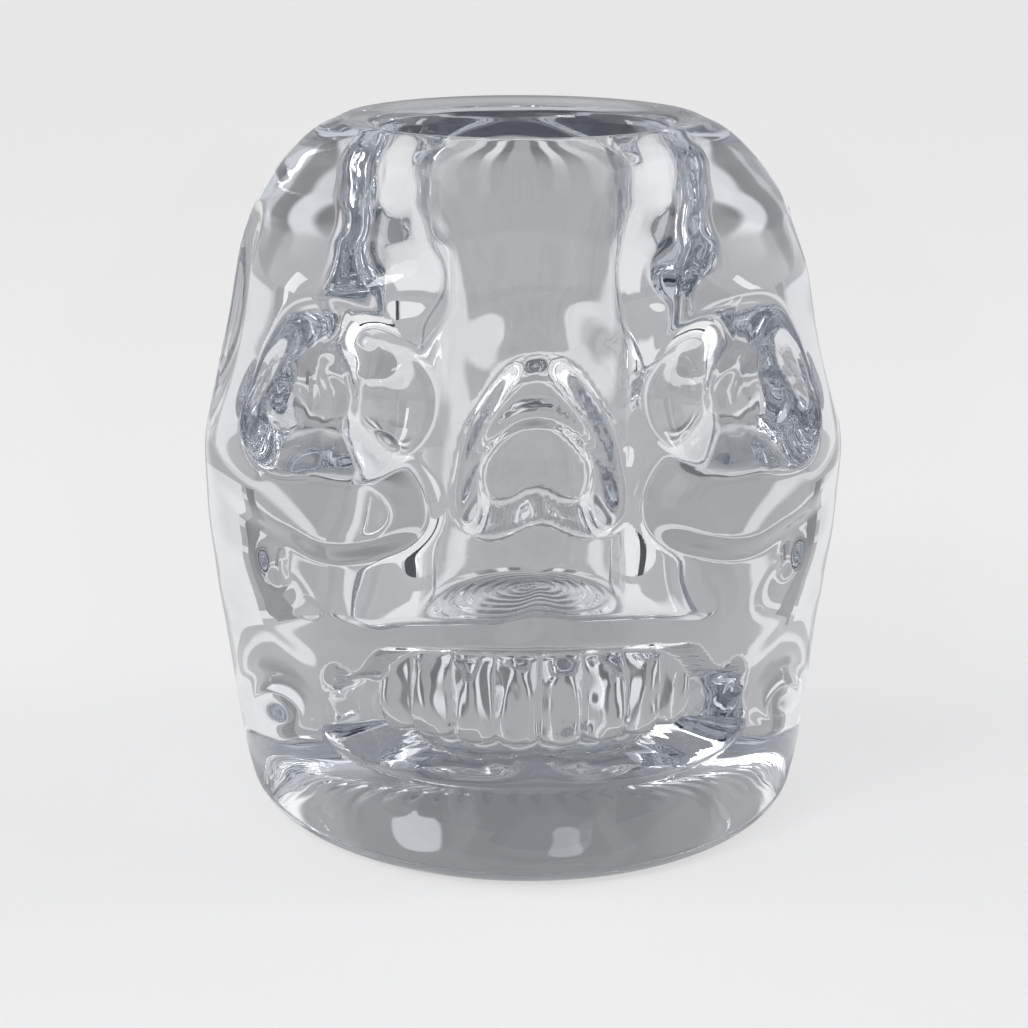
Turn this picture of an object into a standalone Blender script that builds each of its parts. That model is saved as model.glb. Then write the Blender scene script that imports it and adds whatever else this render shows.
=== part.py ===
"""Skull candle holder, pressed from clear glass in one piece.

A skull stands on its flat-ground foot. Its crown is cut flat and holds a deep round well, barely
tapered, for one tealight. Metres, +Z up, the face looks along -Y and the axis of the block is x = 0, y = 0.
"""
import math

import bmesh
import bpy

MM = 0.001

# The block that the mould closes on
HEIGHT = 99.5 * MM
WIDTH = 93.2 * MM
FACE_REACH = 49.0 * MM
BACK_REACH = 49.0 * MM
WAIST_Y = 2.0 * MM          # where the block is widest, behind the middle of the foot
FOOT_RADIUS = 3.0 * MM
GROUND_OFF = 0.4 * MM       # what grinding takes off the foot and the crown

# The candle well, turned, wider at its mouth than at its floor
TEALIGHT = 39.0 * MM        # across a standard metal cup
TEALIGHT_ROOM = 0.9 * MM    # between the cup and the mouth of the well, all round
WELL_MOUTH = TEALIGHT / 2 + TEALIGHT_ROOM
WELL_TAPER = 0.7 * MM       # how much the radius shrinks from the mouth to the floor
WELL_DEPTH = 69.5 * MM
WELL_Y = -4.5 * MM
WELL_CORNER = 1.8 * MM
RIM_RADIUS = 2.2 * MM

# The face, every place measured from the foot and from the middle line
FACE_FULL_Y = -12.0 * MM    # the face is carved in full in front of this
FACE_END_Y = 8.0 * MM       # and not at all behind this
BROW_LEVEL = 83.5 * MM
BROW_FALL = 17.0 * MM       # from its highest place to its outer end
BROW_START = 9.0 * MM
BROW_TOP = 18.0 * MM
BROW_END = 42.0 * MM
BROW_FADE = 0.8             # share of the way to its end where it starts to sink
BROW_BAND = 5.5 * MM
BROW_PROUD = 1.3 * MM

GLABELLA_LEVEL = 74.5 * MM
GLABELLA_SPAN = 10.0 * MM
GLABELLA_DEPTH = 1.6 * MM

SOCKET_ASIDE = 29.5 * MM
SOCKET_LEVEL = 66.5 * MM
SOCKET_SPAN = 13.0 * MM
SOCKET_DEPTH = 13.5 * MM
SOCKET_STEEP = math.radians(-45)    # the way its steepest wall lies from its centre
SOCKET_FLAT = (0.05, 0.72)          # flat share of the floor, towards the nose and away from it

PIT_ASIDE = 32.5 * MM       # the deepest place of each socket
PIT_LEVEL = 64.0 * MM
PIT_SPAN = 6.0 * MM
PIT_DEPTH = 4.5 * MM

CHEEK_ASIDE = 29.5 * MM
CHEEK_LEVEL = 52.0 * MM
CHEEK_SPAN = 13.0 * MM
CHEEK_PROUD = 3.2 * MM
CHEEK_FLAT = 0.5

NOSE_LEVEL = 58.5 * MM
NOSE_SPAN = 11.3 * MM
NOSE_DEPTH = 8.0 * MM
NOSE_FLAT = 0.6
VOMER_LEVEL = 63.8 * MM     # the arch of bone inside the nose
VOMER_FALL = 11.0 * MM
VOMER_BAND = 2.4 * MM
VOMER_PROUD = 2.0 * MM

UPPER_LIP_LEVEL = 42.5 * MM # a wide hollow between the nose and the gum
UPPER_LIP_SPAN = 11.0 * MM
UPPER_LIP_DEPTH = 2.4 * MM

HOLLOW_ASIDE = 38.5 * MM
HOLLOW_LEVEL = 30.0 * MM
HOLLOW_SPAN = 12.0 * MM
HOLLOW_DEPTH = 4.2 * MM     # the hollow of each cheek

DIMPLE_ASIDE = 36.0 * MM
DIMPLE_LEVEL = 41.0 * MM
DIMPLE_SPAN = 3.8 * MM
DIMPLE_DEPTH = 2.5 * MM

TEMPLE_Y = -10.0 * MM
TEMPLE_LEVEL = 72.0 * MM
TEMPLE_SPAN = 15.5 * MM
TEMPLE_DEPTH = 3.0 * MM
TEMPLE_CREASE = 1.2         # power of its dome: a soft crease round it

JAW_Y = 10.0 * MM
JAW_LEVEL = 20.0 * MM
JAW_GROOVE = 5.5 * MM
JAW_RISE = 26.0 * MM
JAW_DEPTH = 2.0 * MM
SIDE_SHARES = (0.55, 0.82)  # of the half width, between which the side's carving fades in

# The mouth and its teeth, which stand on one arch
MOUTH_HALF = 28.6 * MM
MOUTH_TOP = 32.4 * MM
MOUTH_LEVEL = 20.5 * MM
LIP_LEVEL = 14.0 * MM
MOUTH_SQUARE = (4.0, 3.2)   # how square its outline is, above MOUTH_LEVEL and below it
MOUTH_WALL = 1.1 * MM       # either side of the outline, from the skin to the full depth
LIP_ROLL = 2.6 * MM         # how far inside the lower lip the mouth reaches its depth
ROLL_LEVEL = 16.5 * MM      # the roll is full at this level and below
GUM_LOBE_ASIDE = 25.0 * MM
GUM_LOBE_HALF = 3.6 * MM
GUM_LOBE_DROP = 3.6 * MM
ARCH_RADIUS = 26.8 * MM
ARCH_Y = -21.5 * MM
TOOTH_PITCH = 7.2 * MM
TEETH_EACH_SIDE = 5
TOOTH_LOW = 18.1 * MM
TOOTH_PROUD = 6.6 * MM
TOOTH_CROWNING = 4.4 * MM
TOOTH_SQUARE = 3            # how square the crown of a tooth is from its edge to the gum
TOOTH_TIP = 0.16            # shares of the pitch: how round the biting edge is,
TOOTH_STEP = (0.07, 0.17)   # where the edge steps down to the mouth's floor, below and above it,
ROW_FADE = 0.4              # and how the last tooth sinks into the cheek
MOUTH_FLOOR = 7.4 * MM      # from the arch in to the back of the mouth

# How finely the skin is drawn before it is thinned
COLUMNS = 320
ROWS = 160
FACE_CROWDING = 0.36
SKIN_KEPT = 0.10
WELL_STEPS = 60
FILLET_STEPS = 4
WELD = 0.001 * MM

# Stations up the block: share of the height, then shares of the half width, the face's reach
# and the back's reach, and how square the plan is in front and behind
STATIONS = (
    (-0.02, 0.842, 0.972, 0.800, 2.00, 2.20),
    (0.00, 0.854, 0.985, 0.816, 2.00, 2.20),
    (0.03, 0.873, 1.000, 0.845, 2.00, 2.20),
    (0.08, 0.899, 0.985, 0.888, 2.00, 2.20),
    (0.14, 0.919, 0.958, 0.920, 2.00, 2.20),
    (0.20, 0.936, 0.952, 0.945, 2.00, 2.20),
    (0.33, 0.976, 0.962, 0.980, 2.05, 2.20),
    (0.45, 0.998, 0.955, 0.998, 2.20, 2.20),
    (0.52, 1.000, 0.931, 1.000, 2.50, 2.20),
    (0.62, 0.964, 0.910, 0.996, 2.80, 2.20),
    (0.72, 0.918, 0.906, 0.984, 2.85, 2.20),
    (0.80, 0.886, 0.898, 0.959, 2.85, 2.20),
    (0.87, 0.837, 0.853, 0.918, 2.50, 2.20),
    (0.92, 0.772, 0.782, 0.863, 2.10, 2.15),
    (0.955, 0.708, 0.710, 0.808, 2.00, 2.10),
    (0.982, 0.640, 0.641, 0.751, 2.00, 2.05),
    (1.00, 0.558, 0.567, 0.684, 2.00, 2.00),
    (1.02, 0.430, 0.450, 0.560, 2.00, 2.00),
)

# Outlines, as shares of a span at eight equal steps round from the outer side over the top
SOCKET_OUTLINE = (0.70, 0.74, 1.08, 1.12, 1.25, 1.05, 0.82, 1.05)
PIT_OUTLINE = (0.90, 1.00, 1.10, 1.00, 0.90, 1.00, 1.10, 1.00)
CHEEK_OUTLINE = (1.22, 0.92, 0.73, 1.00, 1.34, 0.85, 0.69, 0.73)
NOSE_OUTLINE = (0.98, 1.02, 1.34, 1.02, 0.98, 1.23, 0.70, 1.23)
UPPER_LIP_OUTLINE = (2.30, 1.50, 0.85, 1.50, 2.30, 1.50, 0.85, 1.50)
GLABELLA_OUTLINE = (1.00, 0.89, 0.78, 0.89, 1.00, 0.89, 0.78, 0.89)
HOLLOW_OUTLINE = (0.75, 1.00, 1.08, 1.00, 0.79, 1.00, 1.25, 1.00)
DIMPLE_OUTLINE = (0.68, 0.95, 1.21, 0.95, 0.68, 0.84, 1.10, 0.84)
TEMPLE_OUTLINE = (0.97, 1.10, 1.10, 0.97, 0.84, 0.90, 1.03, 1.10)


def ease(low, high, value):
    """0 below low, 1 above high, with a soft start and end."""
    share = min(max((value - low) / (high - low), 0.0), 1.0)
    return share * share * (3 - 2 * share)


def dome(distance, power=2.0):
    """1 in the middle of an outline, 0 on it and outside; a power under 2 leaves a crease."""
    share = min(abs(distance), 1.0)
    return (1 - share * share) ** power


def basin(distance, flat):
    """1 over the flat middle share of an outline, easing to 0 on the outline itself."""
    return 1 - ease(flat, 1.0, distance)


def along(stations, column, level):
    """One column of the stations at a level, on a curve that never overshoots them."""
    last = len(stations) - 2
    i = 0
    while i < last and level > stations[i + 1][0]:
        i += 1

    def slope(k):
        rise = stations[k + 1][column] - stations[k][column]
        return rise / (stations[k + 1][0] - stations[k][0])

    def tangent(k):
        if k == 0 or k == len(stations) - 1:
            return slope(min(k, last))
        before, after = slope(k - 1), slope(k)
        return 2 * before * after / (before + after) if before * after > 0 else 0.0

    step = stations[i + 1][0] - stations[i][0]
    t = (level - stations[i][0]) / step
    start, end = stations[i][column], stations[i + 1][column]
    return ((2 * t**3 - 3 * t**2 + 1) * start + (t**3 - 2 * t**2 + t) * step * tangent(i)
            + (3 * t**2 - 2 * t**3) * end + (t**3 - t**2) * step * tangent(i + 1))


def from_outline(across, up, span, outline):
    """Distance from an outline's centre, 1 on the outline itself."""
    steps = len(outline)
    place = (math.atan2(up, across) / math.tau * steps) % steps
    i = int(place) % steps
    t = place - int(place)
    p0, p1, p2, p3 = (outline[(i + k) % steps] for k in (-1, 0, 1, 2))
    share = 0.5 * (2 * p1 + (p2 - p0) * t + (2 * p0 - 5 * p1 + 4 * p2 - p3) * t**2
                   + (3 * p1 - p0 - 3 * p2 + p3) * t**3)
    return math.hypot(across, up) / (share * span)


def block_point(turn, z):
    """The plain block before the face is pressed in: turn is 0 at the face, z its level."""
    share = z / HEIGHT
    half, front, back, front_power, back_power = (along(STATIONS, k, share) for k in range(1, 6))
    sine, cosine = math.sin(turn), math.cos(turn)
    power = front_power if cosine > 0 else back_power
    reach = FACE_REACH * front + WAIST_Y if cosine > 0 else BACK_REACH * back - WAIST_Y
    x = WIDTH / 2 * half * math.copysign(abs(sine) ** (2 / power), sine)
    y = WAIST_Y - reach * math.copysign(abs(cosine) ** (2 / power), cosine)
    return x, y


def rounded_foot(x, y, z):
    """Draw the skin in towards the ground foot on a quarter round."""
    if z >= FOOT_RADIUS:
        return x, y
    arc = FOOT_RADIUS + GROUND_OFF
    inset = arc - math.sqrt(max(arc**2 - (FOOT_RADIUS - z)**2, 0.0))
    shrink = 1 - inset / math.hypot(x, y)
    return x * shrink, y * shrink


def pressed_face(x, y, z):
    """Brow, sockets, nose and cheekbones, all pressed in or raised along Y."""
    aside = abs(x)
    crest = BROW_LEVEL - BROW_FALL * ease(BROW_TOP, BROW_END, aside)
    brow = math.exp(-((z - crest) / BROW_BAND) ** 2) * ease(BROW_START, BROW_TOP, aside)
    move = -BROW_PROUD * brow * (1 - ease(BROW_FADE * BROW_END, BROW_END, aside))
    glabella = from_outline(x, z - GLABELLA_LEVEL, GLABELLA_SPAN, GLABELLA_OUTLINE)
    move += GLABELLA_DEPTH * dome(glabella)
    cheek = from_outline(aside - CHEEK_ASIDE, z - CHEEK_LEVEL, CHEEK_SPAN, CHEEK_OUTLINE)
    move -= CHEEK_PROUD * basin(cheek, CHEEK_FLAT)
    across, up = aside - SOCKET_ASIDE, z - SOCKET_LEVEL
    steep = 0.5 + 0.5 * math.cos(math.atan2(up, across) - SOCKET_STEEP)
    flat = SOCKET_FLAT[0] + (SOCKET_FLAT[1] - SOCKET_FLAT[0]) * steep
    move += SOCKET_DEPTH * basin(from_outline(across, up, SOCKET_SPAN, SOCKET_OUTLINE), flat)
    move += PIT_DEPTH * dome(from_outline(aside - PIT_ASIDE, z - PIT_LEVEL, PIT_SPAN, PIT_OUTLINE))
    nose = from_outline(x, z - NOSE_LEVEL, NOSE_SPAN, NOSE_OUTLINE)
    vomer = dome((z - VOMER_LEVEL + VOMER_FALL * (aside / NOSE_SPAN) ** 2) / VOMER_BAND)
    move += (NOSE_DEPTH - VOMER_PROUD * vomer) * basin(nose, NOSE_FLAT)
    lip = from_outline(x, z - UPPER_LIP_LEVEL, UPPER_LIP_SPAN, UPPER_LIP_OUTLINE)
    move += UPPER_LIP_DEPTH * dome(lip)
    hollow = from_outline(aside - HOLLOW_ASIDE, z - HOLLOW_LEVEL, HOLLOW_SPAN, HOLLOW_OUTLINE)
    move += HOLLOW_DEPTH * dome(hollow)
    dimple = from_outline(aside - DIMPLE_ASIDE, z - DIMPLE_LEVEL, DIMPLE_SPAN, DIMPLE_OUTLINE)
    move += DIMPLE_DEPTH * dome(dimple)
    return y + move


def mouth_depth(aside, z):
    """0 outside the mouth, 1 inside it: a half moon with a lobe of gum at each upper corner."""
    top = MOUTH_TOP - GUM_LOBE_DROP * dome((aside - GUM_LOBE_ASIDE) / GUM_LOBE_HALF)
    if z > MOUTH_LEVEL:
        tall, power = top - MOUTH_LEVEL, MOUTH_SQUARE[0]
    else:
        tall, power = MOUTH_LEVEL - LIP_LEVEL, MOUTH_SQUARE[1]
    share = ((aside / MOUTH_HALF) ** power + (abs(z - MOUTH_LEVEL) / tall) ** power) ** (1 / power)
    outside = math.hypot(aside, z - MOUTH_LEVEL) * (1 - 1 / max(share, 0.1))
    rolled = 1 - ease(ROLL_LEVEL, MOUTH_LEVEL, z)
    reach = MOUTH_WALL + (LIP_ROLL - MOUTH_WALL) * rolled
    inside = min(max((MOUTH_WALL - outside) / (MOUTH_WALL + reach), 0.0), 1.0)
    return ease(0.0, 1.0, inside) * (1 - rolled) + inside**2 * rolled


def tooth_height(sweep, z):
    """How far the row of teeth stands out of the mouth's floor at a place on the arch."""
    between = abs(sweep / TOOTH_PITCH % 1.0 - 0.5) * 2
    low = TOOTH_LOW + TOOTH_TIP * TOOTH_PITCH * between**2
    body = ease(low - TOOTH_STEP[0] * TOOTH_PITCH, low + TOOTH_STEP[1] * TOOTH_PITCH, z)
    row_end = TEETH_EACH_SIDE * TOOTH_PITCH
    body *= 1 - ease(row_end - ROW_FADE * TOOTH_PITCH, row_end, abs(sweep))
    across = math.sqrt(max(1 - between**2, 0.0))
    up = min(max((z - TOOTH_LOW) / (MOUTH_TOP - TOOTH_LOW), 0.0), 1.0)
    tall = math.sqrt(max(1 - abs(2 * up - 1) ** TOOTH_SQUARE, 0.0))
    return body * (TOOTH_PROUD - TOOTH_CROWNING + TOOTH_CROWNING * across * tall)


def pressed_mouth(x, y, z):
    """Set what lies inside the mouth back to the arch, with the teeth standing on it."""
    depth = mouth_depth(abs(x), z)
    if depth <= 0.0 or y > ARCH_Y:
        return x, y
    angle = math.atan2(x, ARCH_Y - y)
    reach = math.hypot(x, y - ARCH_Y)
    target = ARCH_RADIUS - MOUTH_FLOOR + tooth_height(ARCH_RADIUS * angle, z)
    if reach > target:
        reach += (target - reach) * depth
    return reach * math.sin(angle), ARCH_Y - reach * math.cos(angle)


def pressed_sides(x, y, z):
    """Hollow the temples and draw a groove behind the jaw."""
    side = ease(SIDE_SHARES[0], SIDE_SHARES[1], abs(x) / (WIDTH / 2))
    temple = from_outline(y - TEMPLE_Y, z - TEMPLE_LEVEL, TEMPLE_SPAN, TEMPLE_OUTLINE)
    groove = math.hypot((y - JAW_Y) / JAW_GROOVE, (z - JAW_LEVEL) / JAW_RISE)
    draw = TEMPLE_DEPTH * dome(temple, TEMPLE_CREASE) + JAW_DEPTH * dome(groove)
    return x - math.copysign(draw * side, x)


def skull_point(turn, z):
    """The finished outside at a turn round the block and a level."""
    x, y = block_point(turn, z)
    on_face = 1 - ease(FACE_FULL_Y, FACE_END_Y, y)
    y += (pressed_face(x, y, z) - y) * on_face
    x, y = pressed_mouth(x, y, z)
    x = pressed_sides(x, y, z)
    x, y = rounded_foot(x, y, z)
    return x, y, z


def skin():
    """The outside of the skull, lofted as one grid, welded at the back and closed at its ends."""
    grid = bmesh.new()
    bmesh.ops.create_grid(grid, x_segments=COLUMNS, y_segments=ROWS, size=0.5)
    low, high = -GROUND_OFF, HEIGHT + GROUND_OFF
    for vert in grid.verts:
        turn = math.tau * vert.co.x
        turn -= FACE_CROWDING * math.sin(turn)
        vert.co = skull_point(turn, low + (high - low) * (vert.co.y + 0.5))
    bmesh.ops.remove_doubles(grid, verts=grid.verts, dist=WELD)
    bmesh.ops.holes_fill(grid, edges=grid.edges, sides=0)
    bmesh.ops.recalc_face_normals(grid, faces=grid.faces)
    mesh = bpy.data.meshes.new("glass_skull")
    grid.to_mesh(mesh)
    grid.free()
    return mesh


def arc(centre_x, centre_z, radius, start, end):
    """Points on an arc, both ends included."""
    steps = [start + (end - start) * k / FILLET_STEPS for k in range(FILLET_STEPS + 1)]
    return [(centre_x + radius * math.cos(a), centre_z + radius * math.sin(a)) for a in steps]


def crown_tool():
    """The tool that cuts the crown flat and turns the well in it, as a profile on a Screw."""
    floor = HEIGHT - WELL_DEPTH
    floor_radius = WELL_MOUTH - WELL_TAPER
    outer = WIDTH + BACK_REACH
    profile = [(0.0, floor)]
    profile += arc(floor_radius - WELL_CORNER, floor + WELL_CORNER, WELL_CORNER, -math.pi / 2, 0.0)
    profile += arc(WELL_MOUTH + RIM_RADIUS, HEIGHT - RIM_RADIUS, RIM_RADIUS, math.pi, math.pi / 2)
    profile += [(outer, HEIGHT), (outer, HEIGHT + WELL_DEPTH), (0.0, HEIGHT + WELL_DEPTH)]
    mesh = bpy.data.meshes.new("crown_tool")
    points = [(x, 0.0, z) for x, z in reversed(profile)]
    mesh.from_pydata(points, [(k, k + 1) for k in range(len(points) - 1)], [])
    tool = bpy.data.objects.new("crown_tool", mesh)
    tool.location = (0.0, WELL_Y, 0.0)
    screw = tool.modifiers.new("turn", "SCREW")
    screw.steps = WELL_STEPS
    screw.render_steps = WELL_STEPS
    screw.use_merge_vertices = True
    screw.merge_threshold = WELD
    return tool


def foot_tool():
    """The plate that grinds the foot flat."""
    side = 2 * (WIDTH + BACK_REACH)
    bpy.ops.mesh.primitive_cube_add(size=side, location=(0.0, 0.0, -side / 2))
    tool = bpy.context.object
    tool.name = "foot_tool"
    return tool


def clear_glass():
    """Clear pressed glass, a little grey."""
    material = bpy.data.materials.new("clear_glass")
    material.use_nodes = True
    shader = material.node_tree.nodes["Principled BSDF"]
    shader.inputs["Base Color"].default_value = (0.90, 0.92, 0.93, 1.0)
    shader.inputs["Roughness"].default_value = 0.02
    shader.inputs["Metallic"].default_value = 0.0
    shader.inputs["IOR"].default_value = 1.5
    shader.inputs["Transmission Weight"].default_value = 1.0
    material.diffuse_color = (0.80, 0.84, 0.86, 1.0)
    return material


def build():
    """Press the skull, grind its foot, cut its crown and turn its well."""
    for old in list(bpy.data.objects):
        bpy.data.objects.remove(old, do_unlink=True)
    tools = bpy.data.collections.new("tools")
    bpy.context.scene.collection.children.link(tools)

    skull = bpy.data.objects.new("glass_skull", skin())
    skull.data.materials.append(clear_glass())
    bpy.context.scene.collection.objects.link(skull)
    thin = skull.modifiers.new("thin", "DECIMATE")
    thin.ratio = SKIN_KEPT

    for tool in (foot_tool(), crown_tool()):
        for holder in list(tool.users_collection):
            holder.objects.unlink(tool)
        tools.objects.link(tool)
        tool.hide_render = True
        tool.display_type = "WIRE"
        cut = skull.modifiers.new(tool.name, "BOOLEAN")
        cut.operation = "DIFFERENCE"
        cut.solver = "EXACT"
        cut.object = tool


build()
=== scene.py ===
import math

import bpy
import numpy as np
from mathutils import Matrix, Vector


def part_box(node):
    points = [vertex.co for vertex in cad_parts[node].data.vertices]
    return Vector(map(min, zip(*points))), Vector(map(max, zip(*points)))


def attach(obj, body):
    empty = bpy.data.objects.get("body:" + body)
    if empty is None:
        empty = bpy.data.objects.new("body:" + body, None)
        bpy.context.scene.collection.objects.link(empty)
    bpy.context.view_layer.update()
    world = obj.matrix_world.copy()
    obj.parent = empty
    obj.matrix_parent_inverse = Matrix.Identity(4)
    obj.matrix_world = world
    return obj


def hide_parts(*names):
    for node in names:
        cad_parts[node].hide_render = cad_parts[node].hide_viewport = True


# A clear pressed-glass skull with a candle well in its flat-cut crown, on a plain pale studio floor.
# Metres, +Z up, the face looks along -Y.

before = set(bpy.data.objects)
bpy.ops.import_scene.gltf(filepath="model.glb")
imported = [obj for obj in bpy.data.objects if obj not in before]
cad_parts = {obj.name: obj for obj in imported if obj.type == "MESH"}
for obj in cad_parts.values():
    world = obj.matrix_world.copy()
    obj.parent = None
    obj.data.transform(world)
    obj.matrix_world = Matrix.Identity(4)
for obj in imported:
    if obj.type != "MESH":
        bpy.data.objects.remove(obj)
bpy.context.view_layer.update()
mm = 0.001
lowCorner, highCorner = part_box("glass_skull")
height = highCorner.z
width = highCorner.x - lowCorner.x
faceReach = -lowCorner.y
backReach = highCorner.y
print("stage 1: frame loaded, block", round(width / mm, 1), "mm wide", round(height / mm, 1), "mm tall")


# Small tools that every carving stroke uses

def ease(low, high, value):
    share = np.clip((value - low) / (high - low), 0, 1)
    return share * share * (3 - 2 * share)


def dome(distance, power=2.0):
    return (1 - np.clip(np.abs(distance), 0, 1) ** 2) ** power


def basin(distance, flat):
    return 1 - ease(flat, 1.0, distance)


def fromOutline(across, up, span, outline):
    # 0 at the middle of an outline and 1 on it; the outline is shares of the span round the compass
    shares = np.array(outline)
    steps = len(shares)
    place = (np.arctan2(up, across) / math.tau * steps) % steps
    i = np.floor(place).astype(int) % steps
    t = place - np.floor(place)
    p0, p1, p2, p3 = (shares[(i + k) % steps] for k in (-1, 0, 1, 2))
    share = 0.5 * (2 * p1 + (p2 - p0) * t + (2 * p0 - 5 * p1 + 4 * p2 - p3) * t**2
                   + (3 * p1 - p0 - 3 * p2 + p3) * t**3)
    return np.hypot(across, up) / (share * span)


def along(levels, values, at):
    # a curve through the stations that never overshoots them
    levels, values = np.array(levels), np.array(values)
    step = np.diff(levels)
    slope = np.diff(values) / step
    tangent = np.zeros(len(values))
    before, after = slope[:-1], slope[1:]
    both = before + after
    both[both == 0] = 1
    tangent[1:-1] = np.where(before * after > 0, 2 * before * after / both, 0)
    tangent[0], tangent[-1] = slope[0], slope[-1]
    i = np.clip(np.searchsorted(levels, at) - 1, 0, len(step) - 1)
    t = (at - levels[i]) / step[i]
    return ((2 * t**3 - 3 * t**2 + 1) * values[i] + (t**3 - 2 * t**2 + t) * step[i] * tangent[i]
            + (3 * t**2 - 2 * t**3) * values[i + 1] + (t**3 - t**2) * step[i] * tangent[i + 1])


# Small tools for the node trees of the skull and the studio

def plug(tree, value, socket):
    # another node's output is linked, and a plain value is set
    if isinstance(value, bpy.types.NodeSocket):
        tree.links.new(value, socket)
    else:
        socket.default_value = value


def figure(tree, operation, *values):
    node = tree.nodes.new("ShaderNodeMath")
    node.operation = operation
    for socket, value in zip(node.inputs, values):
        plug(tree, value, socket)
    return node.outputs[0]


def smoothShare(tree, value, low, high):
    node = tree.nodes.new("ShaderNodeMapRange")
    node.interpolation_type = "SMOOTHSTEP"
    for socket, given in zip(node.inputs, (value, low, high)):
        plug(tree, given, socket)
    return node.outputs[0]


def mixColors(tree, share, below, above):
    node = tree.nodes.new("ShaderNodeMix")
    node.data_type = "RGBA"
    for name, value in (("Factor", share), ("A", below), ("B", above)):
        plug(tree, value, node.inputs[name])
    return node.outputs["Result"]


# The block: shares of the height, the half width and the two reaches, and how square the plan is
skullBlock = {
    "level": (0.00, 0.03, 0.08, 0.14, 0.20, 0.33, 0.45, 0.52,
              0.62, 0.72, 0.80, 0.87, 0.92, 0.955, 0.982, 1.00),
    "half": (0.854, 0.873, 0.899, 0.919, 0.936, 0.976, 0.998, 1.0,
             0.964, 0.918, 0.886, 0.837, 0.772, 0.708, 0.640, 0.558),
    "front": (0.985, 1.0, 0.985, 0.958, 0.952, 0.962, 0.955, 0.931,
              0.910, 0.906, 0.898, 0.853, 0.782, 0.710, 0.641, 0.567),
    "back": (0.816, 0.845, 0.888, 0.920, 0.945, 0.980, 0.998, 1.0,
             0.996, 0.984, 0.959, 0.918, 0.863, 0.808, 0.751, 0.684),
    "frontSquare": (2.0, 2.0, 2.0, 2.0, 2.0, 2.05, 2.2, 2.5,
                    2.8, 2.85, 2.85, 2.5, 2.1, 2.0, 2.0, 2.0),
    "backSquare": (2.2, 2.2, 2.2, 2.2, 2.2, 2.2, 2.2, 2.2,
                   2.2, 2.2, 2.2, 2.2, 2.15, 2.1, 2.05, 2.0),
    "waistY": 2.0 * mm,
    "footRadius": 3.0 * mm,
    "crownEdge": 0.35 * mm,
    "columns": 340,
    "rows": 180,
    "faceCrowding": 0.36,  # how much closer the columns stand on the face than on the back
}


def blockPoints(turn, z):
    b = skullBlock
    share = z / height
    half, front, back, frontSquare, backSquare = (
        along(b["level"], b[key], share) for key in ("half", "front", "back", "frontSquare", "backSquare"))
    sine, cosine = np.sin(turn), np.cos(turn)
    isFront = cosine > 0
    square = np.where(isFront, frontSquare, backSquare)
    reach = np.where(isFront, faceReach * front + b["waistY"], backReach * back - b["waistY"])
    x = width / 2 * half * np.sign(sine) * np.abs(sine) ** (2 / square)
    y = b["waistY"] - reach * np.sign(cosine) * np.abs(cosine) ** (2 / square)
    return x, y


# The face, pressed in or raised along Y; every place is from the foot and the middle line
brow = {"level": 83.5 * mm, "fall": 17 * mm, "start": 9 * mm, "top": 18 * mm, "end": 42 * mm,
        "band": 5.5 * mm, "proud": 1.3 * mm, "fade": 0.8}
socket = {"aside": 29.5 * mm, "level": 66.5 * mm, "span": 13 * mm, "depth": 13.5 * mm,
          "steepWay": math.radians(-45), "flatNear": 0.05, "flatFar": 0.72,
          "outline": (0.70, 0.74, 1.08, 1.12, 1.25, 1.05, 0.82, 1.05)}
nose = {"level": 58.5 * mm, "span": 11.3 * mm, "depth": 8 * mm, "vomerLevel": 63.8 * mm,
        "vomerFall": 11 * mm, "vomerBand": 2.4 * mm, "vomerProud": 2.0 * mm, "flat": 0.6,
        "outline": (0.98, 1.02, 1.34, 1.02, 0.98, 1.23, 0.70, 1.23)}
cheekbone = {"aside": 29.5 * mm, "level": 52 * mm, "span": 13 * mm, "proud": 3.2 * mm, "flat": 0.5,
             "outline": (1.22, 0.92, 0.73, 1.00, 1.34, 0.85, 0.69, 0.73)}
hollows = (
    {"name": "upper lip", "aside": 0, "level": 42.5 * mm, "span": 11 * mm, "depth": 2.4 * mm,
     "outline": (2.3, 1.5, 0.85, 1.5, 2.3, 1.5, 0.85, 1.5)},
    {"name": "socket pit", "aside": 32.5 * mm, "level": 64 * mm, "span": 6.0 * mm, "depth": 4.5 * mm,
     "outline": (0.90, 1.00, 1.10, 1.00, 0.90, 1.00, 1.10, 1.00)},
    {"name": "glabella", "aside": 0, "level": 74.5 * mm, "span": 10 * mm, "depth": 1.6 * mm,
     "outline": (1.00, 0.89, 0.78, 0.89, 1.00, 0.89, 0.78, 0.89)},
    {"name": "cheek", "aside": 38.5 * mm, "level": 30 * mm, "span": 12 * mm, "depth": 4.2 * mm,
     "outline": (0.75, 1.00, 1.08, 1.00, 0.79, 1.00, 1.25, 1.00)},
    {"name": "dimple", "aside": 36 * mm, "level": 41 * mm, "span": 3.8 * mm, "depth": 2.5 * mm,
     "outline": (0.68, 0.95, 1.21, 0.95, 0.68, 0.84, 1.10, 0.84)},
)
faceEnds = {"full": -12 * mm, "gone": 8 * mm}  # the carving fades out over this stretch of Y


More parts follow.
